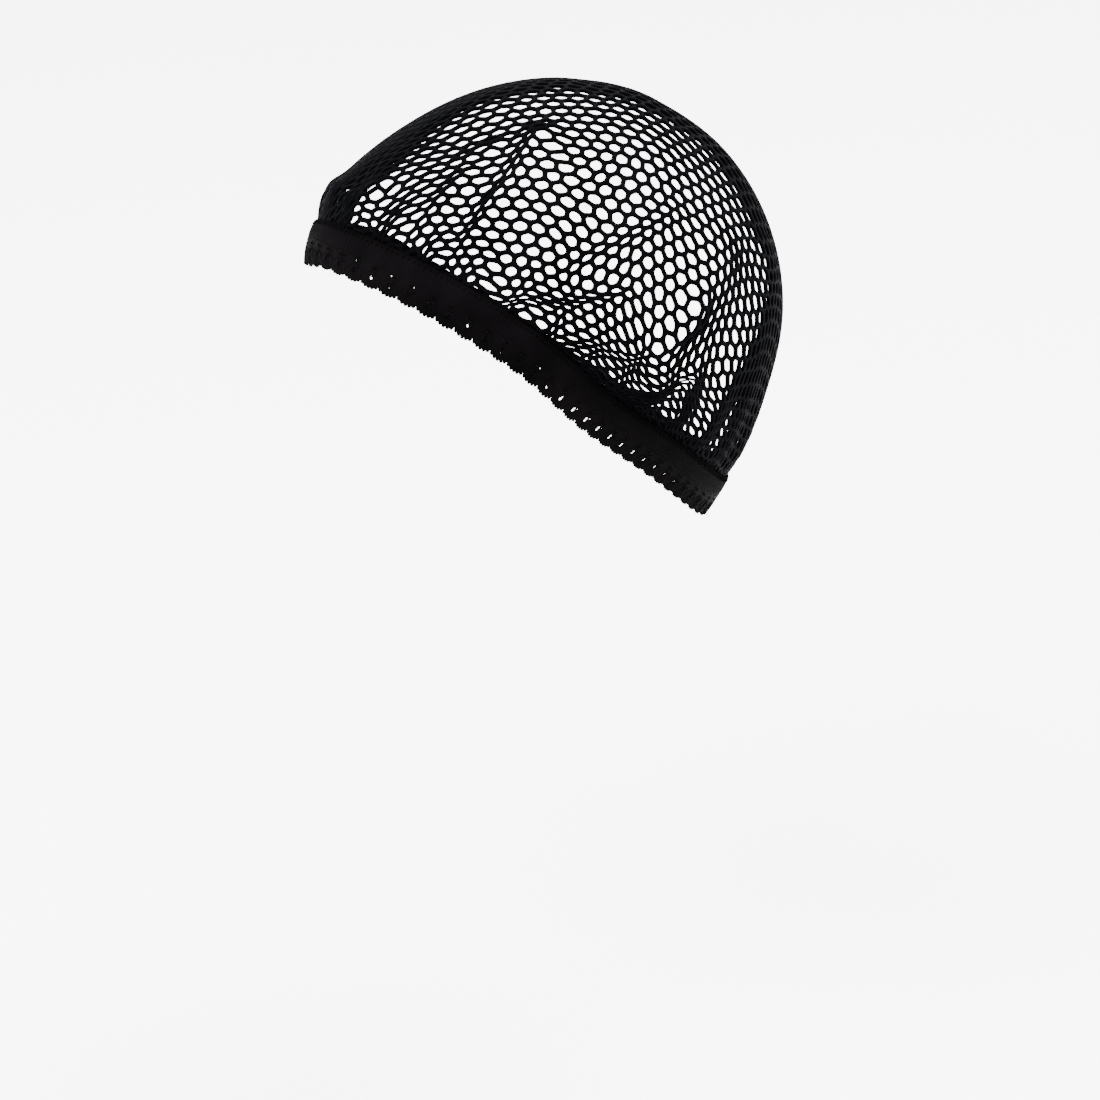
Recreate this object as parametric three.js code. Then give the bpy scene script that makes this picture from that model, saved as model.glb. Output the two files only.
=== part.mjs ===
// A stretch hairnet: a domed crown of coarse hexagonal net, gathered into one elastic lace band.
// Millimetres, +Z up, the face looks along -Y and the wearer's left is +X.
// The origin is the top of the hollow, where the crown sits on the head.
// The cap hangs on an axis of its own that leans back from upright. A place on it is an angle
// down from that axis and an angle round it, 0 in front and growing to the wearer's left.

import * as THREE from "three";

const LEAN = 32;
const NET_WALL = 1.4;
const BAND_WALL = 1.3;
const BAND_GAP = 0.4;
const BAND_WIDTH = 16;

// Net mesh, drawn coarser than the knitted one so that each gap is cut through
const NET_RADIUS = 86;
const GAP_PITCH = 24;
const GAP_WIDTH = 16.6;
const GAP_ROUNDING = 0.2;
const GAP_SHORTEST_SIDE = 1.5;
const RIM_MARGIN = 6;

// Hem of the net, inside the band
const HEM_STEPS = 104;
const HEM_ROWS = [BAND_WIDTH, 11.5, 7];

// Scalloped lower edge of the lace
const SCALLOPS = 68;
const SCALLOP_STEPS = 4;
const SCALLOP_DEPTH = 1.4;
const BAND_MIDDLE = 8.5;

// Gathers above the band
const GATHER_WAVES = 29;
const PUFF_HEIGHT = 9;

// Inner surface: distance from the centre of the head at each angle down from the cap's axis
const FORM_STEP = 20;
const FORM = [
  { angle: 0, front: 87.3, side: 87.3, back: 87.3 },
  { angle: 20, front: 84.4, side: 85.5, back: 89.4 },
  { angle: 40, front: 82.8, side: 81.3, back: 90.5 },
  { angle: 60, front: 83.0, side: 76.6, back: 90.9 },
  { angle: 80, front: 86.4, side: 71.6, back: 90.8 },
  { angle: 100, front: 87.6, side: 69.5, back: 94.5 },
  { angle: 120, front: 80.4, side: 69.1, back: 102.5 },
];

// Round the head: the angle down to the band's lower edge, then the depth of the gathers,
// how far they reach above the band, and how far the net puffs out over it
const RIM_STEP = 30;
const RIM = [
  { round: -180, angle: 108.8, gather: 1.5, reach: 30, puff: 0.3 },
  { round: -150, angle: 108.4, gather: 1.6, reach: 30, puff: 0.5 },
  { round: -120, angle: 108.2, gather: 1.5, reach: 26, puff: 0.8 },
  { round: -90, angle: 106.8, gather: 1.0, reach: 20, puff: 0.8 },
  { round: -60, angle: 104.5, gather: 1.2, reach: 20, puff: 1.8 },
  { round: -30, angle: 106.2, gather: 1.3, reach: 20, puff: 2.8 },
  { round: 0, angle: 102.7, gather: 1.2, reach: 20, puff: 1.6 },
  { round: 30, angle: 100.9, gather: 0.8, reach: 14, puff: 0.8 },
  { round: 60, angle: 103.8, gather: 0.7, reach: 14, puff: 0.6 },
  { round: 90, angle: 111.0, gather: 1.3, reach: 24, puff: 0.8 },
  { round: 120, angle: 112.8, gather: 1.6, reach: 30, puff: 0.6 },
  { round: 150, angle: 112.6, gather: 1.6, reach: 30, puff: 0.3 },
];

// Folds that stand up out of the net, each a straight ridge between two places on the cap
const FOLDS = [
  { fromRound: 43, fromAngle: 94, toRound: 37, toAngle: 72, rise: 2.4, width: 5 },
  { fromRound: 37, fromAngle: 72, toRound: 28, toAngle: 36, rise: 2.4, width: 5 },
  { fromRound: 24, fromAngle: 96, toRound: 14, toAngle: 66, rise: 1.6, width: 4.5 },
  { fromRound: 9, fromAngle: 96, toRound: 5, toAngle: 78, rise: 1.6, width: 4 },
  { fromRound: 66, fromAngle: 92, toRound: 86, toAngle: 76, rise: 2.0, width: 5 },
  { fromRound: 86, fromAngle: 76, toRound: 102, toAngle: 60, rise: 2.0, width: 5 },
  { fromRound: 93, fromAngle: 100, toRound: 108, toAngle: 79, rise: 2.4, width: 5 },
  { fromRound: 108, fromAngle: 79, toRound: 123, toAngle: 58, rise: 2.0, width: 5 },
  { fromRound: -46, fromAngle: 94, toRound: -36, toAngle: 50, rise: 2.2, width: 5 },
  { fromRound: -88, fromAngle: 94, toRound: -106, toAngle: 62, rise: 2.0, width: 5 },
];

const radians = THREE.MathUtils.degToRad;
const FLATNESS = 1e-6;
const NET_BLACK = 0x0c0c0e;
const LACE_BLACK = 0x161314;

// Smooth value of one column at a place counted in rows
function between(before, start, end, after, part) {
  const slope = (end - before) / 2;
  const endSlope = (after - start) / 2;
  const rise = end - start;
  const bend = 3 * rise - 2 * slope - endSlope;
  const twist = slope + endSlope - 2 * rise;
  return start + part * (slope + part * (bend + part * twist));
}

function formRadius(angle, side) {
  const place = Math.min(angle / FORM_STEP, FORM.length - 1.001);
  const row = Math.floor(place);
  const value = (k) => FORM[Math.min(Math.abs(k), FORM.length - 1)][side];
  return between(value(row - 1), value(row), value(row + 1), value(row + 2), place - row);
}

function rimValue(round, column) {
  const place = (((round + 180) % 360) + 360) % 360 / RIM_STEP;
  const row = Math.floor(place);
  const value = (k) => RIM[(k + RIM.length) % RIM.length][column];
  return between(value(row - 1), value(row), value(row + 1), value(row + 2), place - row);
}

// Distance of the smooth inner surface from the centre of the head
function smoothRadius(round, angle) {
  const along = Math.cos(radians(round));
  const across = Math.sin(radians(round));
  const lengthways = formRadius(angle, along > 0 ? "front" : "back");
  const sideways = formRadius(angle, "side");
  return 1 / Math.hypot(along / lengthways, across / sideways);
}

// Height of the axis' foot: the hollow's top is at z = 0, straight above it
const CENTRE_HEIGHT = -smoothRadius(0, LEAN);

function fromCentre(round, angle, distance) {
  const down = radians(angle);
  const direction = new THREE.Vector3(
    Math.sin(down) * Math.sin(radians(round)),
    -Math.sin(down) * Math.cos(radians(round)),
    Math.cos(down),
  );
  direction.applyAxisAngle(new THREE.Vector3(1, 0, 0), -radians(LEAN));
  return direction.multiplyScalar(distance).add(new THREE.Vector3(0, 0, CENTRE_HEIGHT));
}

// Angle down to a place that is so many millimetres above the band's lower edge
function angleAboveRim(round, up) {
  const rim = rimValue(round, "angle");
  const probe = rim - 5;
  const low = fromCentre(round, probe + 1, smoothRadius(round, probe + 1));
  const high = fromCentre(round, probe - 1, smoothRadius(round, probe - 1));
  return rim - (2 * up) / low.distanceTo(high);
}

// Flat net: millimetres from the middle of the cap, the front towards -Y
function flatPlace(round, angle) {
  const reach = radians(angle) * NET_RADIUS;
  return new THREE.Vector2(reach * Math.sin(radians(round)), -reach * Math.cos(radians(round)));
}

function roundOf(flat) {
  return THREE.MathUtils.radToDeg(Math.atan2(flat.x, -flat.y));
}

function angleOf(flat) {
  return THREE.MathUtils.radToDeg(flat.length() / NET_RADIUS);
}

function ridge(flat, fold) {
  const start = flatPlace(fold.fromRound, fold.fromAngle);
  const line = flatPlace(fold.toRound, fold.toAngle).sub(start);
  const part = flat.clone().sub(start).dot(line) / line.lengthSq();
  const along = THREE.MathUtils.clamp(part, 0, 1);
  const distance = flat.distanceTo(start.addScaledVector(line, along));
  return fold.rise * Math.exp(-((distance / fold.width) ** 2));
}

// How far the net stands off the smooth form: folds, the puff over the band, and the gathers
function standOff(flat) {
  const round = roundOf(flat);
  const height = radians(angleAboveRim(round, BAND_WIDTH) - angleOf(flat)) * NET_RADIUS;
  if (height <= 0) {
    return 0;
  }
  const start = Math.min(1, height / PUFF_HEIGHT);
  const fade = Math.exp(-((height / rimValue(round, "reach")) ** 2));
  const wave = 0.5 + 0.5 * Math.sin(radians(round * GATHER_WAVES));
  const puff = rimValue(round, "puff") * start * Math.exp(-((height / (2 * PUFF_HEIGHT)) ** 2));
  const folds = Math.max(...FOLDS.map((fold) => ridge(flat, fold)));
  return puff + start * (rimValue(round, "gather") * wave * fade + folds);
}

function onNet(flat, out) {
  const round = roundOf(flat);
  const angle = angleOf(flat);
  return fromCentre(round, angle, smoothRadius(round, angle) + standOff(flat) + out);
}

function onBand(place, out) {
  const angle = angleAboveRim(place.x, place.y);
  return fromCentre(place.x, angle, smoothRadius(place.x, angle) + NET_WALL + BAND_GAP + out);
}

// Room above the band at a place on the flat net, less the plain margin that the gaps stop at
function roomAboveMargin(flat) {
  const top = angleAboveRim(roundOf(flat), BAND_WIDTH);
  return radians(top - angleOf(flat)) * NET_RADIUS - RIM_MARGIN;
}

// One six-sided gap with its corners cut off, which the margin over the band cuts short
function gapLoop(centre) {
  const corners = Array.from({ length: 6 }, (_, k) => {
    const turn = radians(60 * k + 30);
    const reach = GAP_WIDTH / Math.sqrt(3);
    return new THREE.Vector2(Math.cos(turn), Math.sin(turn)).multiplyScalar(reach).add(centre);
  });
  const places = corners.flatMap((corner, k) => [
    corner.clone().lerp(corners[(k + 5) % 6], GAP_ROUNDING),
    corner.clone().lerp(corners[(k + 1) % 6], GAP_ROUNDING),
  ]);
  places.forEach((flat) => flat.setLength(flat.length() + Math.min(0, roomAboveMargin(flat))));
  return places.filter((flat, k) => (
    flat.distanceTo(places[(k + 1) % places.length]) > GAP_SHORTEST_SIDE
  ));
}

// Rows of gaps run from front to back, and each row is shifted half a gap from the next
function gapCentres() {
  const rowStep = (GAP_PITCH * Math.sqrt(3)) / 2;
  const reach = Math.ceil((NET_RADIUS * 2) / rowStep);
  const centres = [];
  for (let row = -reach; row <= reach; row += 1) {
    for (let step = -reach; step <= reach; step += 1) {
      const shift = Math.abs(row) % 2 === 1 ? GAP_PITCH / 2 : 0;
      centres.push(new THREE.Vector2(row * rowStep, step * GAP_PITCH + shift));
    }
  }
  return centres.filter((flat) => roomAboveMargin(flat) > GAP_WIDTH / 6);
}

function loopOf(start, count) {
  return Array.from({ length: count }, (_, k) => start + k);
}

// Two rings of places joined by a strip of faces, seen from outside
function stripFaces(upper, lower, count) {
  const faces = [];
  for (let k = 0; k < count; k += 1) {
    const next = (k + 1) % count;
    faces.push([lower + k, lower + next, upper + next], [lower + k, upper + next, upper + k]);
  }
  return faces;
}

// Angle at one corner of a face, between its two neighbours
function cornerAngle(points, corner, left, right) {
  const one = points[left].clone().sub(points[corner]);
  const two = points[right].clone().sub(points[corner]);
  return Math.abs(Math.atan2(one.cross(two), one.dot(two)));
}

// Turns the edge between two faces wherever that makes them less of a sliver
function evenOut(points, faces) {
  const owners = new Map();
  faces.forEach((face, index) => {
    face.forEach((a, k) => owners.set(`${a} ${face[(k + 1) % 3]}`, index));
  });
  const settled = new Set();
  faces.forEach((face, index) => face.forEach((a, k) => {
    const b = face[(k + 1) % 3];
    const c = face[(k + 2) % 3];
    const other = owners.get(`${b} ${a}`);
    if (other === undefined || settled.has(index) || settled.has(other)) {
      return;
    }
    const d = faces[other].find((corner) => corner !== a && corner !== b);
    if (cornerAngle(points, c, a, b) + cornerAngle(points, d, a, b) > Math.PI + FLATNESS) {
      faces[index] = [a, d, c];
      faces[other] = [d, b, c];
      settled.add(index);
      settled.add(other);
    }
  }));
  return settled.size > 0;
}

// Flat pattern of the net: the crown with its gaps, and the hem below it
function netPattern() {
  const rings = HEM_ROWS.map((up) => Array.from({ length: HEM_STEPS }, (_, k) => {
    const round = (k * 360) / HEM_STEPS - 180;
    return flatPlace(round, angleAboveRim(round, up));
  }));
  const gaps = gapCentres().map(gapLoop);
  const points = [rings[0], ...gaps].flat();
  const faces = THREE.ShapeUtils.triangulateShape(rings[0], gaps);
  while (evenOut(points, faces)) {
    faces.sort((one, two) => one[0] - two[0]);
  }
  const loops = [];
  let start = HEM_STEPS;
  gaps.forEach((gap) => {
    loops.push(loopOf(start, gap.length).reverse());
    start += gap.length;
  });
  let above = 0;
  rings.slice(1).forEach((ring) => {
    points.push(...ring);
    faces.push(...stripFaces(above, start, HEM_STEPS));
    above = start;
    start += HEM_STEPS;
  });
  loops.push(loopOf(above, HEM_STEPS));
  return { points, faces, loops };
}

// Pattern of the band: columns round the head, rows up from the scalloped edge
function bandPattern() {
  const columns = SCALLOPS * SCALLOP_STEPS;
  const scallop = (k) => {
    const part = (k % SCALLOP_STEPS) / SCALLOP_STEPS;
    return SCALLOP_DEPTH * (1 - Math.sqrt(Math.sin(Math.PI * part)));
  };
  const rows = [() => BAND_WIDTH, () => BAND_MIDDLE, scallop];
  const points = rows.flatMap((up) => Array.from({ length: columns }, (_, k) => (
    new THREE.Vector2((k * 360) / columns - 180, up(k))
  )));
  const faces = [...stripFaces(0, columns, columns), ...stripFaces(columns, 2 * columns, columns)];
  const loops = [loopOf(2 * columns, columns), loopOf(0, columns).reverse()];
  return { points, faces, loops };
}

// Cloth wall over a pattern: an outer face, an inner face, and an edge round each loop
function clothWall(pattern, place, wall) {
  const count = pattern.points.length;
  const spots = [wall, 0].flatMap((out) => pattern.points.map((flat) => place(flat, out)));
  const index = [];
  pattern.faces.forEach(([a, b, c]) => {
    index.push(a, b, c, count + a, count + c, count + b);
  });
  pattern.loops.forEach((loop) => loop.forEach((a, k) => {
    const b = loop[(k + 1) % loop.length];
    index.push(count + a, count + b, b, count + a, b, a);
  }));
  const geometry = new THREE.BufferGeometry().setFromPoints(spots);
  geometry.setIndex(index);
  geometry.computeVertexNormals();
  return geometry;
}

function cloth(name, geometry, color, roughness) {
  const material = new THREE.MeshStandardMaterial({ color, roughness, metalness: 0 });
  const mesh = new THREE.Mesh(geometry, material);
  mesh.name = name;
  return mesh;
}

const hairnet = new THREE.Group();
hairnet.add(cloth("crown_net", clothWall(netPattern(), onNet, NET_WALL), NET_BLACK, 0.85));
hairnet.add(cloth("lace_band", clothWall(bandPattern(), onBand, BAND_WALL), LACE_BLACK, 0.8));

export default hairnet;
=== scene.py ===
import math

import bpy
import numpy as np
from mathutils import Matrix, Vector
from mathutils.geometry import delaunay_2d_cdt


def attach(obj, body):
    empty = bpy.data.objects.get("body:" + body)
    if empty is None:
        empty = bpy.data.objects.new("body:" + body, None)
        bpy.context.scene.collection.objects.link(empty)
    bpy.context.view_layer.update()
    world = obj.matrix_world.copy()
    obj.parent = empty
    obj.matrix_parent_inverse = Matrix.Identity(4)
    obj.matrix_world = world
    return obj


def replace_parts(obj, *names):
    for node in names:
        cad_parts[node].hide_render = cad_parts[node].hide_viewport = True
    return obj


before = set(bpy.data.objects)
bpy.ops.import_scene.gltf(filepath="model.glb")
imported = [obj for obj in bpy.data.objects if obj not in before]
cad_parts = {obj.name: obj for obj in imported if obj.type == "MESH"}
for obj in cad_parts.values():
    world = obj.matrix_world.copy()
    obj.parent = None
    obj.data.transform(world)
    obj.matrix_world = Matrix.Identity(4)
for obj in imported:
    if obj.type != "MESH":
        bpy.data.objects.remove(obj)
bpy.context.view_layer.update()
bpy.ops.object.select_all(action="DESELECT")

# The picture is taken from the cap's left, a little in front and above, with a long lens that
# looks below the cap. The camera's angles, distance and CAP_PIXEL were solved by a least-squares
# fit to places on the outline, read in the picture.
PICTURE_SIDE = 1100
FOCAL_PIXELS = 4809
SENSOR_WIDTH = 36
CAMERA_ROUND = 64.46
CAMERA_HEIGHT = 17.66
CAMERA_DISTANCE = 1.731
CAP_MIDDLE = Vector((0, 0, -0.08225))
CAP_PIXEL = (536.9, 313.4)

aside = (CAP_PIXEL[0] - PICTURE_SIDE / 2) / FOCAL_PIXELS
above = (PICTURE_SIDE / 2 - CAP_PIXEL[1]) / FOCAL_PIXELS
camera_round = math.radians(CAMERA_ROUND)
camera_height = math.radians(CAMERA_HEIGHT)
towards_camera = Vector((
    math.cos(camera_height) * math.sin(camera_round),
    -math.cos(camera_height) * math.cos(camera_round),
    math.sin(camera_height),
))
lens_dip = camera_height + math.atan(above)
camera_data = bpy.data.cameras.new("camera")
camera_data.sensor_width = SENSOR_WIDTH
camera_data.lens = FOCAL_PIXELS / PICTURE_SIDE * SENSOR_WIDTH
camera_data.clip_end = 100
camera = bpy.data.objects.new("camera", camera_data)
camera.location = CAP_MIDDLE + towards_camera * CAMERA_DISTANCE
camera.rotation_euler = (
    math.pi / 2 - lens_dip,
    0,
    camera_round + math.atan(aside) / math.cos(lens_dip),
)
bpy.context.scene.collection.objects.link(camera)
bpy.context.scene.camera = camera

# The crown is a disc of black knitted net, drawn into a dome and gathered into the band.
# The cap hangs on an axis that leans back. A place on it is an angle round that axis, 0 in front
# and growing to the cap's left, and an angle down from it. Tables are in millimetres.
MILLIMETRE = 0.001
LEAN = 32
NET_RADIUS = 86
BAND_WIDTH = 16
PUFF_HEIGHT = 9
GATHER_WAVES = 29

# Distance from the middle of the form, at every 20 degrees down: in front, at the side, behind.
# The same fit gave these. They are its results less 1.4 mm for the net, within 0.3 mm.
FORM_STEP = 20
FORM = np.array([
    (87.3, 87.3, 87.3),
    (84.4, 85.5, 89.4),
    (82.8, 81.3, 90.5),
    (83.0, 76.6, 90.9),
    (86.4, 71.6, 90.8),
    (87.6, 69.5, 94.5),
    (80.4, 69.1, 102.5),
])

# At every 30 degrees round, from the nape: the angle down to the band's lower edge, the depth
# of the gathers, how far they reach above the band, how far the net puffs out over it, and how
# much the meshes above it are pushed together. The angles are from the same fit, within 0.2.
RIM_STEP = 30
RIM = np.array([
    (108.8, 1.5, 30, 0.3, 0.2),
    (108.4, 1.6, 30, 0.5, 0.25),
    (108.2, 1.5, 26, 0.8, 0.25),
    (106.8, 1.0, 20, 0.8, 0.25),
    (104.5, 1.2, 20, 1.8, 0.2),
    (106.2, 1.3, 20, 2.8, 0.2),
    (102.7, 1.2, 20, 1.6, 0.3),
    (100.9, 0.8, 14, 0.8, 0.15),
    (103.8, 0.7, 14, 0.6, 0.25),
    (111.0, 1.3, 24, 0.8, 0.5),
    (112.8, 1.6, 30, 0.6, 0.5),
    (112.6, 1.6, 30, 0.3, 0.3),
])
RIM_ANGLE, RIM_GATHER, RIM_REACH, RIM_PUFF, RIM_PUSH = range(5)
PUSH_REACH = 30
PUSH_START = 8
GATHER_DRAW = 0.7
# Two angles near the band's edge, between which the way up the cap is measured
RIM_PROBES = (4, 6)

# Folds of the net: rise, width, how far the meshes beside it are drawn together, and its line
# as angles round and down. All but the last lie in front and on the cap's left.
FOLDS = [
    (2.2, 5.0, 0.74, [(37, 97), (35, 80), (34, 66), (31, 54), (28, 45), (33, 38)]),
    (1.6, 4.5, 0.62, [(24, 98), (24, 84), (23, 75), (22, 60)]),
    (1.4, 4.5, 0.4, [(18, 99), (13, 89), (5, 84), (6, 74)]),
    (1.1, 4.0, 0.35, [(29, 50), (21, 56), (16, 70)]),
    (1.8, 4.0, 0.74, [(44, 94), (54, 86), (64, 80), (71, 76), (83, 67)]),
    (1.5, 5.0, 0.5, [(60, 80), (62, 71), (67, 64), (75, 55), (89, 40)]),
    (2.3, 5.0, 0.4, [(93, 85), (99, 76), (104, 66), (100, 56)]),
    (1.7, 4.5, 0.68, [(60, 100), (71, 90), (79, 86), (95, 81)]),
    (2.4, 6.0, 0.88, [(82, 105), (92, 95), (101, 90), (116, 82)]),
    (1.2, 4.0, 0.7, [(84, 109), (92, 100), (101, 96), (108, 95)]),
    (0.3, 14.0, 0.45, [(-8, 100), (-8, 75), (-10, 45), (-30, 16)]),
    (0.3, 14.0, 0.25, [(-6, 77), (2, 71), (12, 66), (25, 60)]),
    (0.3, 10.0, 0.45, [(84, 104), (88, 90), (92, 78)]),
    (0.3, 14.0, 0.4, [(100, 100), (104, 85), (110, 66), (118, 40)]),
    (0.3, 14.0, 0.4, [(128, 104), (132, 85), (138, 60), (150, 42)]),
    (1.3, 3.5, 0.1, [(-42, 88), (-20, 85), (0, 86), (14, 89)]),
    (1.8, 5.0, 0.6, [(-87, 102), (-95, 80), (-108, 58)]),
]
FOLD_TAPER = 14
DRAW_REACH = 26

# How the flat cloth is drawn over the cap, per 100 mm of cloth across and along it:
# power across, power along, millimetres. These and CLOTH_TURN were solved by a least-squares
# fit to the directions and spacing of the meshes in the picture.
PULL_ACROSS = [(1, 0, 103.4), (1, 1, -3.9), (1, 2, -25.5), (3, 1, 3.4), (1, 3, 6.1)]
PULL_ALONG = [
    (0, 1, 115.7), (2, 0, 1.0), (0, 3, 6.8), (2, 1, 25.0), (2, 2, 4.1), (0, 4, -3.1),
]
CLOTH_TURN = -13
CLOTH_REACH = 180
WANDER = 0.8
WANDER_LENGTH = 7.5

# The knitted mesh
MESH_PITCH = 5.2
MESH_REACH = 40
MESH_BELOW_RIM = 3
STRAND_WIDTH = 1.9
STRAND_DEPTH = 1.3
STRAND_MIDDLE = 0.7
STRAND_CROWN = 0.6
TIGHTEST = 0.86
ROUNDING = 0.6
ARC_REST = 0.27
ARC_LIMIT = 0.42
UNEVENNESS = 0.2
NET_FOOT = 10
SEED = 11


def between(before, start, end, after, part):
    """Smooth value between two rows of a table."""
    slope = (end - before) / 2
    end_slope = (after - start) / 2
    rise = end - start
    bend = 3 * rise - 2 * slope - end_slope
    return start + part * (slope + part * (bend + part * (slope + end_slope - 2 * rise)))


def form_radius(angle, side):
    place = np.minimum(angle / FORM_STEP, len(FORM) - 1.001)
    row = np.floor(place).astype(int)
    near = [FORM[np.minimum(np.abs(row + k), len(FORM) - 1), side] for k in (-1, 0, 1, 2)]
    return between(*near, place - row)


def rim_value(turn, column):
    place = np.mod(turn + 180, 360) / RIM_STEP
    row = np.floor(place).astype(int)
    near = [RIM[np.mod(row + k, len(RIM)), column] for k in (-1, 0, 1, 2)]
    return between(*near, place - row)


def smooth_radius(turn, angle):
    along = np.cos(np.radians(turn))
    across = np.sin(np.radians(turn))
    lengthways = np.where(along > 0, form_radius(angle, 0), form_radius(angle, 2))
    return 1 / np.hypot(along / lengthways, across / form_radius(angle, 1))


FORM_MIDDLE = -float(smooth_radius(np.float64(0), np.float64(LEAN)))


def on_cap(turn, angle, distance):
    """Points so many millimetres from the middle of the form, in metres."""
    down = np.radians(angle)
    side = np.radians(turn)
    x = np.sin(down) * np.sin(side)
    y = -np.sin(down) * np.cos(side)
    z = np.cos(down)
    lean = math.radians(LEAN)
    y, z = y * math.cos(lean) + z * math.sin(lean), z * math.cos(lean) - y * math.sin(lean)
    points = np.stack([x * distance, y * distance, z * distance + FORM_MIDDLE], -1)
    return points * MILLIMETRE


def angle_above_rim(turn, up):
    """Angle down to a place so many millimetres above the band's lower edge."""
    rim = rim_value(turn, RIM_ANGLE)
    low, high = (
        on_cap(turn, rim - probe, smooth_radius(turn, rim - probe)) for probe in RIM_PROBES
    )
    apart = RIM_PROBES[1] - RIM_PROBES[0]
    return rim - apart * up * MILLIMETRE / np.linalg.norm(low - high, axis=-1)


def flat_place(turn, angle):
    reach = np.radians(angle) * NET_RADIUS
    side = np.radians(turn)
    return np.stack([reach * np.sin(side), -reach * np.cos(side)], -1)


def turn_of(flat):
    return np.degrees(np.arctan2(flat[..., 0], -flat[..., 1]))


def angle_of(flat):
    return np.degrees(np.hypot(flat[..., 0], flat[..., 1]) / NET_RADIUS)


def beside_fold(flat, line):
    """Steps from the nearest point of a fold's line, their length, and the fold's strength."""
    rows = np.array([line[0], *line, line[-1]], float)
    part = np.arange(4)[:, None] / 4
    smooth = [between(*rows[k:k + 4], part) for k in range(len(line) - 1)]
    spots = flat_place(*np.concatenate([*smooth, rows[-1:]]).T)
    lengths = np.linalg.norm(np.diff(spots, axis=0), axis=1)
    run = np.concatenate([[0], np.cumsum(lengths)])
    off = np.zeros(flat.shape)
    nearest = np.full(flat.shape[:-1], np.inf)
    along = np.zeros(flat.shape[:-1])
    for start, end, length, before in zip(spots, spots[1:], lengths, run):
        part = np.clip((flat - start) @ (end - start) / length ** 2, 0, 1)
        step = flat - start - part[..., None] * (end - start)
        distance = np.linalg.norm(step, axis=-1)
        nearer = distance < nearest
        off = np.where(nearer[..., None], step, off)
        along = np.where(nearer, before + part * length, along)
        nearest = np.where(nearer, distance, nearest)
    reach = np.clip(np.minimum(along, run[-1] - along) / FOLD_TAPER, 0, 1)
    return off, nearest, reach * reach * (3 - 2 * reach)


def stand_off(flat):
    """How far the net stands off the smooth form."""
    turn = turn_of(flat)
    height = np.radians(angle_above_rim(turn, BAND_WIDTH) - angle_of(flat)) * NET_RADIUS
    start = np.clip(height / PUFF_HEIGHT, 0, 1)
    fade = np.exp(-(height / rim_value(turn, RIM_REACH)) ** 2)
    wave = 0.5 + 0.5 * np.sin(np.radians(turn * GATHER_WAVES))
    puff = rim_value(turn, RIM_PUFF) * start * np.exp(-(height / (2 * PUFF_HEIGHT)) ** 2)
    ridges = []
    for rise, width, _, line in FOLDS:
        _, distance, strength = beside_fold(flat, line)
        ridges.append(rise * strength * np.exp(-(distance / width) ** 2))
    return puff + start * (rim_value(turn, RIM_GATHER) * wave * fade + np.max(ridges, axis=0))


def on_net(flat, out):
    turn = turn_of(flat)
    angle = angle_of(flat)
    return on_cap(turn, angle, smooth_radius(turn, angle) + stand_off(flat) + out)


def drawn_over(cloth):
    """Where a place on the flat cloth comes to lie on the cap."""
    across, along = cloth[..., 0] / 100, cloth[..., 1] / 100
    x = sum(pull * across ** a * along ** b for a, b, pull in PULL_ACROSS)
    y = sum(pull * across ** a * along ** b for a, b, pull in PULL_ALONG)
    side = math.radians(CLOTH_TURN)
    flat = np.stack([
        math.cos(side) * x - math.sin(side) * y,
        math.sin(side) * x + math.cos(side) * y,
    ], -1)
    wander = flat[..., ::-1] / WANDER_LENGTH
    flat = flat + WANDER * np.stack([np.sin(wander[..., 0] + 1), np.sin(1.3 * wander[..., 1])], -1)
    turn = turn_of(flat)
    reach = np.linalg.norm(flat, axis=-1)
    band_top = np.radians(angle_above_rim(turn, BAND_WIDTH)) * NET_RADIUS
    inset = np.clip(reach - band_top + PUSH_REACH, 0, None)
    reach = reach - rim_value(turn, RIM_PUSH) * inset ** 2 / (inset + PUSH_START)
    height = band_top - reach
    fade = np.exp(-(np.clip(height, 0, None) / rim_value(turn, RIM_REACH)) ** 2)
    wave = np.radians(turn * GATHER_WAVES)
    turn = turn + np.degrees(GATHER_DRAW / GATHER_WAVES * np.cos(wave) * fade)
    flat = flat_place(turn, np.degrees(reach / NET_RADIUS))
    for _, width, pinch, line in FOLDS:
        off, distance, strength = beside_fold(flat, line)
        reach = np.maximum(distance, 1e-9)
        drawn = pinch * strength * width * np.tanh(reach / width) / reach
        flat = flat - (drawn * np.exp(-(reach / DRAW_REACH) ** 2))[..., None] * off
    return flat


def unit(vectors):
    return vectors / np.maximum(np.linalg.norm(vectors, axis=-1, keepdims=True), 1e-12)


def make_piece(name, points, faces, places):
    """A mesh object, with the place of each face corner on the cloth as its UV map."""
    mesh = bpy.data.meshes.new(name)
    mesh.from_pydata([tuple(point) for point in points], [], faces)
    layer = mesh.uv_layers.new(name="cloth")
    layer.data.foreach_set("uv", np.array([uv for face in places for uv in face]).ravel())
    mesh.polygons.foreach_set("use_smooth", [True] * len(mesh.polygons))
    piece = bpy.data.objects.new(name, mesh)
    bpy.context.scene.collection.objects.link(piece)
    return piece


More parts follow.
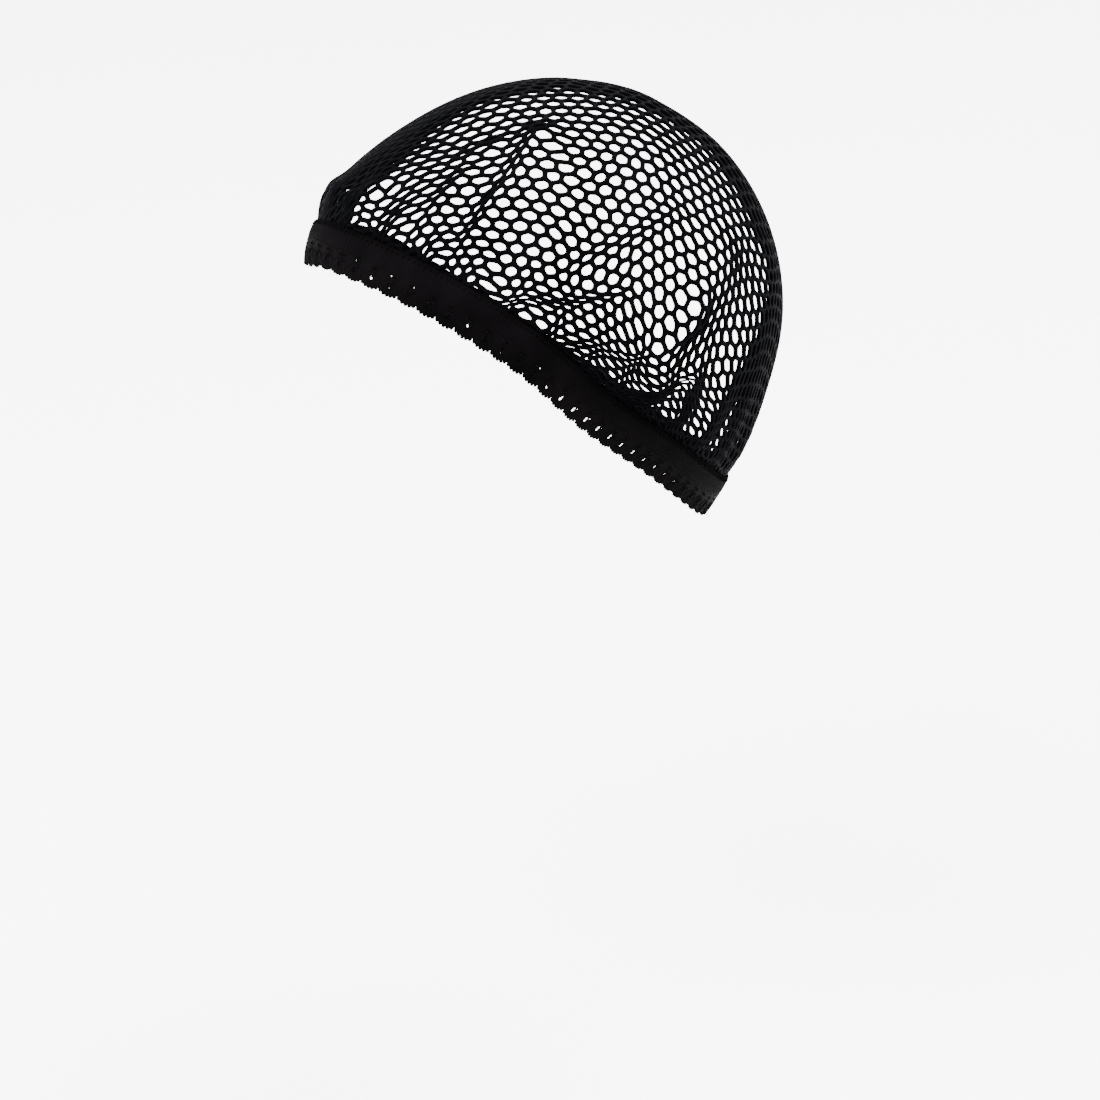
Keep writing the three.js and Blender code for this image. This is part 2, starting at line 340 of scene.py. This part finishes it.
# The meshes of the flat cloth that come to lie on the cap, and the junctions at their corners
row_step = MESH_PITCH * math.sqrt(3) / 2
cloth_middles = np.array([
    (row * row_step, (step + 0.5 * (row % 2)) * MESH_PITCH)
    for row in range(-MESH_REACH, MESH_REACH + 1)
    for step in range(-MESH_REACH, MESH_REACH + 1)
])
middles_on_cap = drawn_over(cloth_middles)
on_the_cap = angle_of(middles_on_cap) < rim_value(
    turn_of(middles_on_cap), RIM_ANGLE
) + MESH_BELOW_RIM
on_the_cap &= np.hypot(*cloth_middles.T) < CLOTH_REACH
cloth_middles = cloth_middles[on_the_cap]
spokes = np.radians(np.arange(6) * 60)
corner_offsets = np.stack([np.cos(spokes), np.sin(spokes)], -1) * MESH_PITCH / math.sqrt(3)
corners = cloth_middles[:, None] + corner_offsets
keys, junction_of = np.unique(
    np.round(corners.reshape(-1, 2), 2), axis=0, return_inverse=True
)
junction_of = junction_of.reshape(-1, 6)
camera_place = np.array(camera.location)
uneven = np.random.default_rng(SEED).normal(0, UNEVENNESS, keys.shape)
junction_flat = drawn_over(keys + np.clip(uneven, -2 * UNEVENNESS, 2 * UNEVENNESS))


def faces_camera(flat):
    """Which places on the smooth form face the camera."""
    spots = [flat, flat + (PROBE, 0), flat + (0, PROBE)]
    turns = [turn_of(spot) for spot in spots]
    angles = [angle_of(spot) for spot in spots]
    here, east, north = (
        on_cap(turn, angle, smooth_radius(turn, angle)) for turn, angle in zip(turns, angles)
    )
    return np.sum(np.cross(east - here, north - here) * (camera_place - here), axis=-1) > 0


def behind(points):
    """Where the lines of sight through these points meet the far side of the cap."""
    lean = math.radians(LEAN)
    centre = np.array((0, 0, FORM_MIDDLE * MILLIMETRE))
    sight = unit(points - camera_place)
    low = np.sum((centre - points) * sight, axis=-1)
    high = low + 2 * NET_RADIUS * MILLIMETRE
    for _ in range(SIGHT_STEPS):
        half_way = (low + high) / 2
        x, y, z = ((points + sight * half_way[:, None] - centre) / MILLIMETRE).T
        y, z = y * math.cos(lean) - z * math.sin(lean), z * math.cos(lean) + y * math.sin(lean)
        distance = np.sqrt(x * x + y * y + z * z)
        turn = np.degrees(np.arctan2(x, -y))
        angle = np.degrees(np.arccos(z / distance))
        flat = flat_place(turn, angle)
        inside = distance < smooth_radius(turn, angle) + stand_off(flat) + STRAND_MIDDLE
        low, high = np.where(inside, half_way, low), np.where(inside, high, half_way)
    return flat


# The far side is hidden in the picture. It repeats the near side, mesh for mesh, behind the
# same lines of sight, and the two meet along the edge that the camera sees.
PROBE = 0.4
SIGHT_STEPS = 22
turned_here = faces_camera(middles_on_cap[on_the_cap])
near_loops = junction_of[turned_here]
near_junctions = np.unique(near_loops)
meeting = np.intersect1d(near_junctions, junction_of[~turned_here])
far_flat = np.zeros(junction_flat.shape)
far_flat[near_junctions] = behind(on_net(junction_flat[near_junctions], STRAND_MIDDLE))
junction_flat[meeting] = (junction_flat[meeting] + far_flat[meeting]) / 2
repeated = np.setdiff1d(near_junctions, meeting)
twin = np.arange(len(keys))
twin[repeated] = len(keys) + np.arange(len(repeated))
junction_flat = np.concatenate([junction_flat, far_flat[repeated]])
loops = np.concatenate([near_loops, twin[near_loops][:, ::-1]])

# The meshes beside that edge ease apart, so that none stays drawn out
NEAR_EASE = 2
FAR_EASE = 9
EASE_STEPS = 40
EASE_RATE = 0.6
both_ways = np.stack([loops.ravel(), np.roll(loops, -1, axis=1).ravel()], -1)
strand_ends, uses = np.unique(np.sort(both_ways, axis=1), axis=0, return_counts=True)
start, end = strand_ends.T
rows_off = np.full(len(junction_flat), FAR_EASE)
rows_off[meeting] = 0
for _ in range(FAR_EASE):
    np.minimum.at(rows_off, start, rows_off[end] + 1)
    np.minimum.at(rows_off, end, rows_off[start] + 1)
on_far_side = np.arange(len(junction_flat)) >= len(keys)
freedom = np.clip(1 - rows_off / np.where(on_far_side, FAR_EASE, NEAR_EASE), 0, 1)
freedom[strand_ends[uses == 1]] = 0
neighbours = np.maximum(np.bincount(strand_ends.ravel(), minlength=len(junction_flat)), 1)
for _ in range(EASE_STEPS):
    pulled = np.zeros(junction_flat.shape)
    np.add.at(pulled, start, junction_flat[end])
    np.add.at(pulled, end, junction_flat[start])
    middle_place = pulled / neighbours[:, None]
    junction_flat += EASE_RATE * freedom[:, None] * (middle_place - junction_flat)
junctions = on_net(junction_flat, STRAND_MIDDLE)
along_x = on_net(junction_flat + (PROBE, 0), STRAND_MIDDLE) - junctions
along_y = on_net(junction_flat + (0, PROBE), STRAND_MIDDLE) - junctions
outward = unit(np.cross(along_x, along_y))
above_foot = angle_of(junction_flat) < angle_above_rim(turn_of(junction_flat), NET_FOOT)

# Outlines of the open meshes: three points round every corner, at three heights. The top and
# the underside of a strand are narrower than its middle.
ring = junctions[loops]
middle = ring.mean(axis=1, keepdims=True)
to_next = unit(np.roll(ring, -1, axis=1) - ring)
to_last = unit(np.roll(ring, 1, axis=1) - ring)
inward = unit(np.cross(outward[loops], to_next - to_last))
inward *= np.sign(np.sum(inward * (middle - ring), axis=-1, keepdims=True))
across_side = np.linalg.norm(np.cross(middle - ring, to_next), axis=-1)
half = np.minimum(STRAND_WIDTH / 2 * MILLIMETRE, TIGHTEST * across_side.min(axis=1))
half_turn = np.sqrt(np.clip((1 - np.sum(to_next * to_last, axis=-1)) / 2, 0.2, 1))
mitre = inward * (half[:, None] / half_turn)[..., None]
side_left = np.linalg.norm(np.roll(ring + mitre, -1, axis=1) - ring - mitre, axis=-1)
next_arc = np.minimum(ROUNDING * MILLIMETRE, ARC_LIMIT * side_left)[..., None]
last_arc = np.roll(next_arc, 1, axis=1)
arcs = np.stack([
    to_last * last_arc,
    ARC_REST * (to_last * last_arc + to_next * next_arc),
    to_next * next_arc,
], axis=2)
rise = outward[loops] * STRAND_DEPTH / 2 * MILLIMETRE
outlines = np.stack([
    (ring + mitre * share + rise * height)[:, :, None] + arcs
    for share, height in ((STRAND_CROWN, 1), (1, 0), (STRAND_CROWN, -1))
], axis=3)

strand_sides = {}
for cell, loop in enumerate(loops):
    for k in range(6):
        ends = (int(loop[k]), int(loop[(k + 1) % 6]))
        strand_sides.setdefault(tuple(sorted(ends)), []).append((cell, k))
strand_of = {}
strands = []
for ends, sides in strand_sides.items():
    if len(sides) == 2 and above_foot[list(ends)].all():
        strand_of.update({side: len(strands) for side in sides})
        strands.append(sides)
across_strand = {}
for sides in strand_sides.values():
    if len(sides) == 2:
        across_strand.update({sides[0]: sides[1], sides[1]: sides[0]})
cells_at = {}
for cell, loop in enumerate(loops):
    for k in range(6):
        cells_at.setdefault(int(loop[k]), []).append((cell, k))


def net_mesh(chosen):
    """Six-sided strands that meet in rounded junctions. Cut ends are closed."""
    shift = {}
    index = {}
    faces = []
    places = []

    def point(side, arc, level):
        return index.setdefault((side[0], side[1] % 6, arc, level), len(index))

    def add(spots, uvs):
        faces.append([point(*spot) for spot in spots])
        places.append(uvs)

    def add_wall(side, arc, other, other_arc, length):
        for level in (0, 1):
            low, high = UV_STRIP + UV_STRIP * level, 2 * UV_STRIP + UV_STRIP * level
            add([
                (side, arc, level), (other, other_arc, level),
                (other, other_arc, level + 1), (side, arc, level + 1),
            ], [(0, low), (length, low), (length, high), (0, high)])

    def add_end(right, left):
        add([
            (right, 0, 0), (left, 2, 0), (left, 2, 1), (left, 2, 2), (right, 0, 2), (right, 0, 1),
        ], END_PLACES)

    for number in chosen:
        one, two = strands[number]
        one_end, two_end = (one[0], one[1] + 1), (two[0], two[1] + 1)
        length = float(np.linalg.norm(
            ring[one[0], one[1]] - ring[one[0], (one[1] + 1) % 6]) / MILLIMETRE)
        strip = [(0, 0), (length, 0), (length, UV_STRIP), (0, UV_STRIP)]
        add([(two_end, 0, 0), (two, 2, 0), (one_end, 0, 0), (one, 2, 0)], strip)
        add([(one, 2, 2), (one_end, 0, 2), (two, 2, 2), (two_end, 0, 2)], strip)
        add_wall(one, 2, one_end, 0, length)
        add_wall(two, 2, two_end, 0, length)
    for junction, around in cells_at.items():
        cells = [around[0]]
        while len(cells) <= len(around):
            cells.append(across_strand.get((cells[-1][0], (cells[-1][1] - 1) % 6)))
            if cells[-1] is None or cells[-1] == cells[0]:
                break
        if cells.pop() is None:
            continue
        gaps = list(zip(cells, cells[1:] + cells[:1]))
        numbers = [strand_of.get(left) for right, left in gaps]
        here = [number in chosen for number in numbers]
        if sum(here) >= 2:
            star = [(cell, arc) for cell in cells for arc in (2, 1, 0)]
            add([(cell, arc, 0) for cell, arc in star], STAR_PLACES[:len(star)])
            add([(cell, arc, 2) for cell, arc in star[::-1]], STAR_PLACES[:len(star)])
            for cell in cells:
                add_wall(cell, 0, cell, 1, 0.5)
                add_wall(cell, 1, cell, 2, 0.5)
            for (right, left), present in zip(gaps, here):
                if not present:
                    add([
                        (left, 2, 0), (right, 0, 0), (right, 0, 1),
                        (right, 0, 2), (left, 2, 2), (left, 2, 1),
                    ], END_PLACES)
        if sum(here) == 1:
            right, left = gaps[here.index(True)]
            add_end(right, left)
            if None not in numbers:
                gap = junctions[junction] - (
                    outlines[right[0], right[1], 0, 1] + outlines[left[0], left[1], 2, 1]) / 2
                shift[(*right, 0)] = shift[(*left, 2)] = gap
    points = np.zeros((len(index), 3))
    for (cell, k, arc, level), number in index.items():
        points[number] = outlines[cell, k, arc, level] + shift.get((cell, k, arc), 0)
    return points, faces, places


# Places on the cloth for the corners of a strand's side, its cut end and a junction
UV_STRIP = 0.3
END_PLACES = [(0.5 * math.cos(turn), 0.5 * math.sin(turn)) for turn in range(6)]
STAR_PLACES = [(0.9 * math.cos(0.7 * turn), 0.3 * math.sin(0.7 * turn)) for turn in range(12)]


class Signal:
    """One output of a node, so that masks are written as sums and products."""

    def __init__(self, finish, socket):
        self.finish = finish
        self.socket = socket

    def maths(self, operation, *values):
        return self.finish.node("ShaderNodeMath", {"operation": operation}, dict(enumerate(values)))

    def __add__(self, other):
        return self.maths("ADD", self, other)

    def __sub__(self, other):
        return self.maths("SUBTRACT", self, other)

    def __mul__(self, other):
        return self.maths("MULTIPLY", self, other)

    __radd__ = __add__


class Finish:
    """A material for yarn: the principled shader, and what varies over it."""

    def __init__(self, name, constants):
        self.material = bpy.data.materials.new(name)
        self.material.use_nodes = True
        self.tree = self.material.node_tree
        self.shader = self.tree.nodes["Principled BSDF"]
        for socket, value in constants.items():
            self.shader.inputs[socket].default_value = value

    def put(self, socket, value):
        if isinstance(value, Signal):
            self.tree.links.new(value.socket, socket)
        else:
            socket.default_value = value

    def node(self, kind, settings, values, output=0):
        node = self.tree.nodes.new(kind)
        for setting, value in settings.items():
            setattr(node, setting, value)
        for key, value in values.items():
            self.put(node.inputs[key], value)
        return Signal(self, node.outputs[output])

    def mix(self, factor, one, two):
        return self.node(
            "ShaderNodeMix", {"data_type": "RGBA"}, {0: factor, 6: (*one, 1), 7: (*two, 1)}, 2
        )

    def vary(self, socket, value):
        self.put(self.shader.inputs[socket], value)


def yarn_finish(name, colour, worn_colour, twist, plies, sheen_tint):
    """Dull synthetic yarn with twisted plies, loose fibres and a soft sheen."""
    finish = Finish(name, {
        "Specular IOR Level": 0.004,
        "Sheen Weight": 0.002,
        "Sheen Roughness": 0.45,
        "Sheen Tint": (*sheen_tint, 1),
    })
    cloth = finish.node("ShaderNodeUVMap", {"uv_map": "cloth"}, {})
    place = finish.node("ShaderNodeTexCoord", {}, {}, "Object")
    plies_wave = finish.node("ShaderNodeTexWave", {
        "wave_type": "BANDS", "bands_direction": "DIAGONAL", "wave_profile": "SIN",
    }, {"Vector": cloth, "Scale": twist, "Distortion": 1.2, "Detail": 1.5}, "Fac")
    fibres = finish.node("ShaderNodeTexNoise", {}, {
        "Vector": place, "Scale": 2600.0, "Detail": 3.0, "Roughness": 0.6,
    }, "Fac")
    patches = finish.node("ShaderNodeTexNoise", {}, {
        "Vector": place, "Scale": 55.0, "Detail": 2.0, "Roughness": 0.5,
    }, "Fac")
    worn = finish.node("ShaderNodeMapRange", {}, {
        "Value": patches * 0.6 + fibres * 0.4, "From Min": 0.38, "From Max": 0.68,
    })
    finish.vary("Base Color", finish.mix(worn, colour, worn_colour))
    finish.vary("Roughness", 0.58 + fibres * 0.22 - plies_wave * 0.08)
    height = plies_wave * plies + fibres * 0.35
    finish.vary("Normal", finish.node("ShaderNodeBump", {}, {
        "Strength": 0.55, "Distance": 0.00022, "Height": height,
    }, "Normal"))
    return finish.material


def dress(piece, material, node):
    piece.data.materials.append(material)
    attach(piece, "root")
    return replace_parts(piece, node)


net_yarn = yarn_finish(
    "net_yarn", (0.0003, 0.0003, 0.0004), (0.0010, 0.0009, 0.0012), 2.6, 0.65, (0.35, 0.45, 0.9)
)
on_near_side = np.array([min(one[0], two[0]) < len(near_loops) for one, two in strands])
for name, near in (("net_right", False), ("net_left", True)):
    chosen = set(np.flatnonzero(on_near_side == near).tolist())
    net = make_piece(name, *net_mesh(chosen))
    dress(net, net_yarn, "crown_net")

# The hem is the edge of the same net, folded and bunched inside the band.
# It is a soft ribbed ring that the strands run down into.
HEM_COLUMNS = 816
HEM_PLEATS = 136
HEM_PLEAT_DEPTH = 0.22
HEM_INNER = 0.1
HEM_OUTER = 1.75
HEM_EDGE = 0.5
# Height above the band's lower edge and part of the thickness, round the section
HEM_SECTION = [
    (8.2, 0.25), (9.8, 0.0), (12.5, 0.0), (15.6, 0.0), (16.9, 0.2),
    (17.2, 0.5), (16.9, 0.8), (15.6, 1.0), (12.5, 1.0), (9.8, 1.0), (8.2, 0.75), (7.9, 0.5),
]
SETTLE_FROM = 12.0
SETTLE_TO = 16.0
SETTLE_DEPTH = 0.75


def settled(up):
    """How far the top of the hem and the band press in."""
    return SETTLE_DEPTH * np.clip((up - SETTLE_FROM) / (SETTLE_TO - SETTLE_FROM), 0, 1) ** 2


def ring_section(columns, section, place):
    """Closed ring: the places of one section, swept round the cap."""
    count = len(section)
    turns = np.arange(columns) * 360 / columns - 180
    points = np.concatenate([place(turns, *spot) for spot in section])
    faces = []
    uvs = []
    for k in range(count):
        after = (k + 1) % count
        for c in range(columns):
            n = (c + 1) % columns
            faces.append([
                k * columns + c, k * columns + n, after * columns + n, after * columns + c,
            ])
            uvs.append([(c, k), (c + 1, k), (c + 1, k + 1), (c, k + 1)])
    return points, faces, uvs


def on_hem(turns, up, part):
    pleat = HEM_PLEAT_DEPTH * np.cos(np.radians(turns * HEM_PLEATS)) * (2 * part - 1)
    angle = angle_above_rim(turns, up + 0.15 * np.sin(np.radians(turns * 41)))
    out = HEM_INNER + (HEM_OUTER - HEM_INNER - settled(np.float64(up))) * part + pleat
    return on_cap(turns, angle, smooth_radius(turns, angle) + out)


points, faces, uvs = ring_section(HEM_COLUMNS, HEM_SECTION, on_hem)
net_hem = make_piece("net_hem", points, [face[::-1] for face in faces], uvs)
dress(net_hem, net_yarn, "crown_net")

# The band is one strip of elastic lace, sewn over the hem with its scalloped edge down.
# Its upper half is close and ribbed, the lower half has an eyelet over each scallop.
SCALLOPS = 68
LACE_PITCH = 7.6
SCALLOP_DEPTH = 1.5
TEETH = 5
TOOTH = 0.8
LACE_INNER = 0.15
LACE_OUTER = 0.75
NET_WALL = 1.4
BAND_GAP = 0.4
RIB_DEPTH = 0.2
RIBS = 5
LACE_COLUMNS = 20
LACE_ROWS = [2.2, 2.9, 3.6, 4.3, 5.0, 5.7, 6.4, 7.1, 7.8, 8.5, 9.0, 11.3, 13.6, 15.5, 16.0]
RIB_FOOT = 8.6
RIB_START = 0.8
# Holes: middle along and up, half length along and up, tilt
HOLES = {
    "eyelet": (3.8, 4.2, 0.62, 1.2, -8),
    "pinhole": (5.35, 5.2, 0.34, 0.42, 0),
    "slit": (3.9, 7.15, 1.35, 0.34, -6),
}
HOLE_STEPS = 14
HOLE_MARGIN = 0.22


def scallop(along):
    """Height of the lower edge."""
    part = np.mod(along / LACE_PITCH, 1)
    arch = SCALLOP_DEPTH * (1 - np.sqrt(np.clip(np.sin(np.pi * part), 0, 1)))
    return arch + TOOTH * (1 - np.abs(np.sin(np.pi * part * TEETH)))


def hole_outline(hole, grow=0.0, steps=HOLE_STEPS):
    along, up, wide, high, tilt = HOLES[hole]
    spokes = np.arange(steps) * 2 * np.pi / steps
    x, y = (wide + grow) * np.cos(spokes), (high + grow) * np.sin(spokes)
    side = math.radians(tilt)
    return np.stack([
        along + x * math.cos(side) - y * math.sin(side),
        up + x * math.sin(side) + y * math.cos(side),
    ], -1)


def on_band(place, out):
    """A place along and up the band, in millimetres, with its distance off the net."""
    turn = place[..., 0] / (SCALLOPS * LACE_PITCH) * 360 - 180
    angle = angle_above_rim(turn, place[..., 1])
    out = NET_WALL + BAND_GAP + out - settled(place[..., 1])
    return on_cap(turn, angle, smooth_radius(turn, angle) + out)


def lace_relief(place):
    """Ribs across the elastic."""
    rib = 0.5 + 0.5 * np.cos(2 * np.pi * RIBS * place[..., 0] / LACE_PITCH)
    ribbed = np.clip((place[..., 1] - RIB_FOOT) / RIB_START, 0, 1)
    return RIB_DEPTH * rib * ribbed


def lace_pattern():
    """One scallop's width of lace, cut out flat: its points, faces and edge loops."""
    columns = np.arange(LACE_COLUMNS + 1) * LACE_PITCH / LACE_COLUMNS
    lower = np.stack([columns, scallop(np.minimum(columns, LACE_PITCH - 1e-9))], -1)
    lower[-1, 1] = lower[0, 1]
    grid = np.array([(x, y) for y in LACE_ROWS for x in columns])
    keep = np.ones(len(grid), bool)
    for along, up, wide, high, tilt in HOLES.values():
        inside = ((grid[:, 0] - along) / (wide + HOLE_MARGIN)) ** 2
        keep &= inside + ((grid[:, 1] - up) / (high + HOLE_MARGIN)) ** 2 > 1
    outlines = [hole_outline(hole) for hole in HOLES]
    points = [lower, grid[keep], *outlines]
    edges = [(k, k + 1) for k in range(LACE_COLUMNS)]
    start = len(lower) + int(keep.sum())
    for outline in outlines:
        edges += [(start + k, start + (k + 1) % len(outline)) for k in range(len(outline))]
        start += len(outline)
    flat = np.concatenate(points)
    cut = delaunay_2d_cdt([Vector(p) for p in flat.tolist()], edges, [], 0, 1e-6)
    flat = np.array([tuple(p) for p in cut[0]])
    kept = []
    for face in cut[2]:
        centre = flat[list(face)].mean(axis=0)
        if centre[1] < np.interp(centre[0], lower[:, 0], lower[:, 1]):
            continue
        holed = False
        for along, up, wide, high, tilt in HOLES.values():
            side = math.radians(tilt)
            x, y = centre - (along, up)
            x, y = (
                x * math.cos(side) + y * math.sin(side), y * math.cos(side) - x * math.sin(side)
            )
            holed |= (x / wide) ** 2 + (y / high) ** 2 < 1
        if not holed:
            kept.append(list(face))
    return flat, kept


def lace_mesh():
    flat, kept = lace_pattern()
    right = {
        int(k): int(np.argmin(np.hypot(flat[:, 0], flat[:, 1] - flat[k, 1])))
        for k in np.flatnonzero(np.abs(flat[:, 0] - LACE_PITCH) < 1e-4)
    }
    own = [k for k in range(len(flat)) if k not in right]
    number = {k: n for n, k in enumerate(own)}
    step = len(own)
    total = step * SCALLOPS
    place = np.concatenate([flat[own] + (LACE_PITCH * s, 0) for s in range(SCALLOPS)])
    relief = lace_relief(place)
    points = np.concatenate([on_band(place, LACE_OUTER + relief), on_band(place, LACE_INNER)])
    faces = []
    uvs = []
    for s in range(SCALLOPS):
        def corner(k):
            if k in right:
                return (s + 1) % SCALLOPS * step + number[right[k]]
            return s * step + number[k]
        shift = np.array((LACE_PITCH * s, 0))
        for face in kept:
            outer = [corner(k) for k in face]
            spots = [tuple(flat[k] + shift) for k in face]
            faces += [outer, [total + k for k in outer[::-1]]]
            uvs += [spots, spots[::-1]]
    owners = {}
    for face in faces[::2]:
        for a, b in zip(face, face[1:] + face[:1]):
            owners[(a, b)] = True
    for a, b in list(owners):
        if (b, a) not in owners:
            faces.append([b, a, total + a, total + b])
            spot = [tuple(place[b]), tuple(place[a])]
            uvs.append([*spot, *spot[::-1]])
    return points, faces, uvs


lace_yarn = yarn_finish(
    "lace_yarn", (0.0006, 0.0005, 0.0006), (0.0016, 0.0013, 0.0015), 3.4, 0.5, (0.7, 0.6, 0.7)
)
lace_band = make_piece("lace_band_ground", *lace_mesh())
dress(lace_band, lace_yarn, "lace_band")

# Heavier threads lie on the lace: one follows the scallops, one rings each eyelet, and a fan
# runs from it to the teeth. They are laid in as the lace is knitted.
CORD_SIDES = 6
EDGE_RADIUS = 0.2
RING_RADIUS = 0.27
RING_MARGIN = 0.3
RING_STEPS = 16
SLIT_RADIUS = 0.2
SLIT_MARGIN = 0.22
SLIT_STEPS = 14
FAN_RADIUS = 0.2
FAN_SPREAD = 0.38
FAN_DROP = 1.5
FAN_RISE = 0.35
FAN_STEPS = 4
BAR_RADIUS = 0.15
BAR_ENDS = ((2.9, 4.05), (4.7, 4.35))
ARCH_FOOT = 2.3
ARCH_HEIGHT = 4.0
ARCH_SHARE = 0.98
ARCH_RADIUS = 0.2
ARCH_STEPS = 11
LINE_UP = 8.5
LINE_SWAY = 0.12
LINE_TURNS = 3.1
LINE_RADIUS = 0.24
LINE_STEPS = 8
EDGE_RISE = 0.1
# How far off the net each kind of thread lies
EDGE_OUT, BAR_OUT, RING_OUT, SLIT_OUT, TOP_OUT = 0.45, 0.5, 0.68, 0.7, 0.72


def laid_threads(name, paths):
    """Round threads on the band: each a list of places, a radius, its height and if it closes."""
    points = []
    faces = []
    uvs = []
    for place, radius, out, closed in paths:
        line = on_band(place, out)
        off = unit(on_band(place, out + 1) - line)
        if closed:
            ahead = unit(np.roll(line, -1, axis=0) - np.roll(line, 1, axis=0))
        else:
            ahead = unit(np.gradient(line, axis=0))
        side = unit(np.cross(ahead, off))
        off = unit(np.cross(side, ahead))
        first = len(points)
        for spot, left, top in zip(line, side, off):
            for k in range(CORD_SIDES):
                turn = 2 * math.pi * k / CORD_SIDES
                spoke = left * math.cos(turn) + top * math.sin(turn)
                points.append(spot + spoke * radius * MILLIMETRE)
        count = len(line)
        for s in range(count if closed else count - 1):
            n = (s + 1) % count
            for k in range(CORD_SIDES):
                m = (k + 1) % CORD_SIDES
                faces.append([
                    first + s * CORD_SIDES + k, first + s * CORD_SIDES + m,
                    first + n * CORD_SIDES + m, first + n * CORD_SIDES + k,
                ])
                u, w = s * 0.35, k / CORD_SIDES
                uvs.append([(u, w), (u, w + 0.17), (u + 0.35, w + 0.17), (u + 0.35, w)])
        if not closed:
            last = first + (count - 1) * CORD_SIDES
            faces.append([first + k for k in range(CORD_SIDES)][::-1])
            faces.append([last + k for k in range(CORD_SIDES)])
            uvs += [[(0, k / CORD_SIDES) for k in range(CORD_SIDES)]] * 2
    return make_piece(name, points, faces, uvs)


EDGE_STEPS = 20
edge = np.arange(SCALLOPS * EDGE_STEPS) * LACE_PITCH / EDGE_STEPS
edge_path = np.stack([edge, scallop(edge) + EDGE_RISE], -1)
long_line = np.arange(SCALLOPS * LINE_STEPS) * LACE_PITCH / LINE_STEPS
line_path = np.stack([long_line, LINE_UP + LINE_SWAY * np.sin(long_line * LINE_TURNS)], -1)
paths = [(edge_path, EDGE_RADIUS, EDGE_OUT, True), (line_path, LINE_RADIUS, TOP_OUT, True)]
eye_along, eye_up = HOLES["eyelet"][:2]
for s in range(SCALLOPS):
    shift = np.array((LACE_PITCH * s, 0))
    eyelet = hole_outline("eyelet", RING_MARGIN, RING_STEPS) + shift
    paths.append((eyelet, RING_RADIUS, RING_OUT, True))
    slit = hole_outline("slit", SLIT_MARGIN, SLIT_STEPS) + shift
    paths.append((slit, SLIT_RADIUS, SLIT_OUT, True))
    bar = np.linspace(*BAR_ENDS, FAN_STEPS)
    paths.append((bar + shift, BAR_RADIUS, BAR_OUT, False))
    for tooth in range(TEETH):
        x = (tooth + 0.5) * LACE_PITCH / TEETH
        foot = np.array((x, float(scallop(np.float64(x))) + EDGE_RISE))
        top = np.array((
            eye_along + (x - eye_along) * FAN_SPREAD,
            eye_up - FAN_DROP + abs(x - eye_along) * FAN_RISE,
        ))
        steps = np.linspace(0, 1, FAN_STEPS)[:, None]
        paths.append((foot + (top - foot) * steps + shift, FAN_RADIUS, SLIT_OUT, False))
    arch = np.linspace(0, 1, ARCH_STEPS)
    x = arch * LACE_PITCH
    y = ARCH_FOOT + ARCH_HEIGHT * np.sqrt(np.sin(np.pi * arch)) * ARCH_SHARE
    paths.append((np.stack([x, y], -1) + shift, ARCH_RADIUS, TOP_OUT, False))
lace_threads = laid_threads("lace_threads", paths)
dress(lace_threads, lace_yarn, "lace_band")

# A zigzag seam in black thread joins the top of the band to the net.
SEAM_STITCHES = 236
SEAM_LOW = 14.4
SEAM_HIGH = 16.7
SEAM_RADIUS = 0.17
STITCH_STEPS = 6
seam_count = SEAM_STITCHES * STITCH_STEPS
seam_along = np.arange(seam_count) * SCALLOPS * LACE_PITCH / seam_count
phase = np.arange(seam_count) / STITCH_STEPS % 1
swing = np.abs(2 * phase - 1)
seam_up = SEAM_LOW + (SEAM_HIGH - SEAM_LOW) * swing
seam_out = np.interp(swing, [0, 0.55, 0.8, 1], [1.02, 1.05, 0.8, -0.3])
seam = laid_threads("band_seam", [
    (np.stack([seam_along, seam_up], -1), SEAM_RADIUS, seam_out, True),
])
dress(seam, lace_yarn, "lace_band")

# Plain pale floor and soft studio light.
FLOOR_HEIGHT = -0.353
FLOOR_SIZE = 60
bpy.ops.mesh.primitive_plane_add(size=FLOOR_SIZE, location=(0, 0, FLOOR_HEIGHT))
floor = bpy.context.object
floor.name = "floor"
paint = Finish("floor_paint", {"Base Color": (0.93, 0.93, 0.93, 1), "Roughness": 0.9})
grain = paint.node("ShaderNodeTexNoise", {}, {"Scale": 4.0}, "Fac")
paint.vary("Roughness", 0.85 + grain * 0.1)
floor.data.materials.append(paint.material)
floor.select_set(False)


def soft_light(name, turn, height, distance, size, power):
    """Large square lamp that faces the cap."""
    lamp_data = bpy.data.lights.new(name, "AREA")
    lamp_data.size = size
    lamp_data.energy = power
    lamp = bpy.data.objects.new(name, lamp_data)
    side, up = math.radians(turn), math.radians(height)
    towards = Vector((
        math.cos(up) * math.sin(side), -math.cos(up) * math.cos(side), math.sin(up),
    ))
    lamp.location = CAP_MIDDLE + towards * distance
    lamp.rotation_euler = towards.to_track_quat("Z", "Y").to_euler()
    bpy.context.scene.collection.objects.link(lamp)


soft_light("key_light", 20, 55, 2.2, 1.6, 220)
soft_light("back_light", 200, 60, 2.4, 1.6, 190)
world = bpy.data.worlds.new("studio")
world.use_nodes = True
world.node_tree.nodes["Background"].inputs["Color"].default_value = (1, 1, 1, 1)
world.node_tree.nodes["Background"].inputs["Strength"].default_value = 4.5
bpy.context.scene.world = world
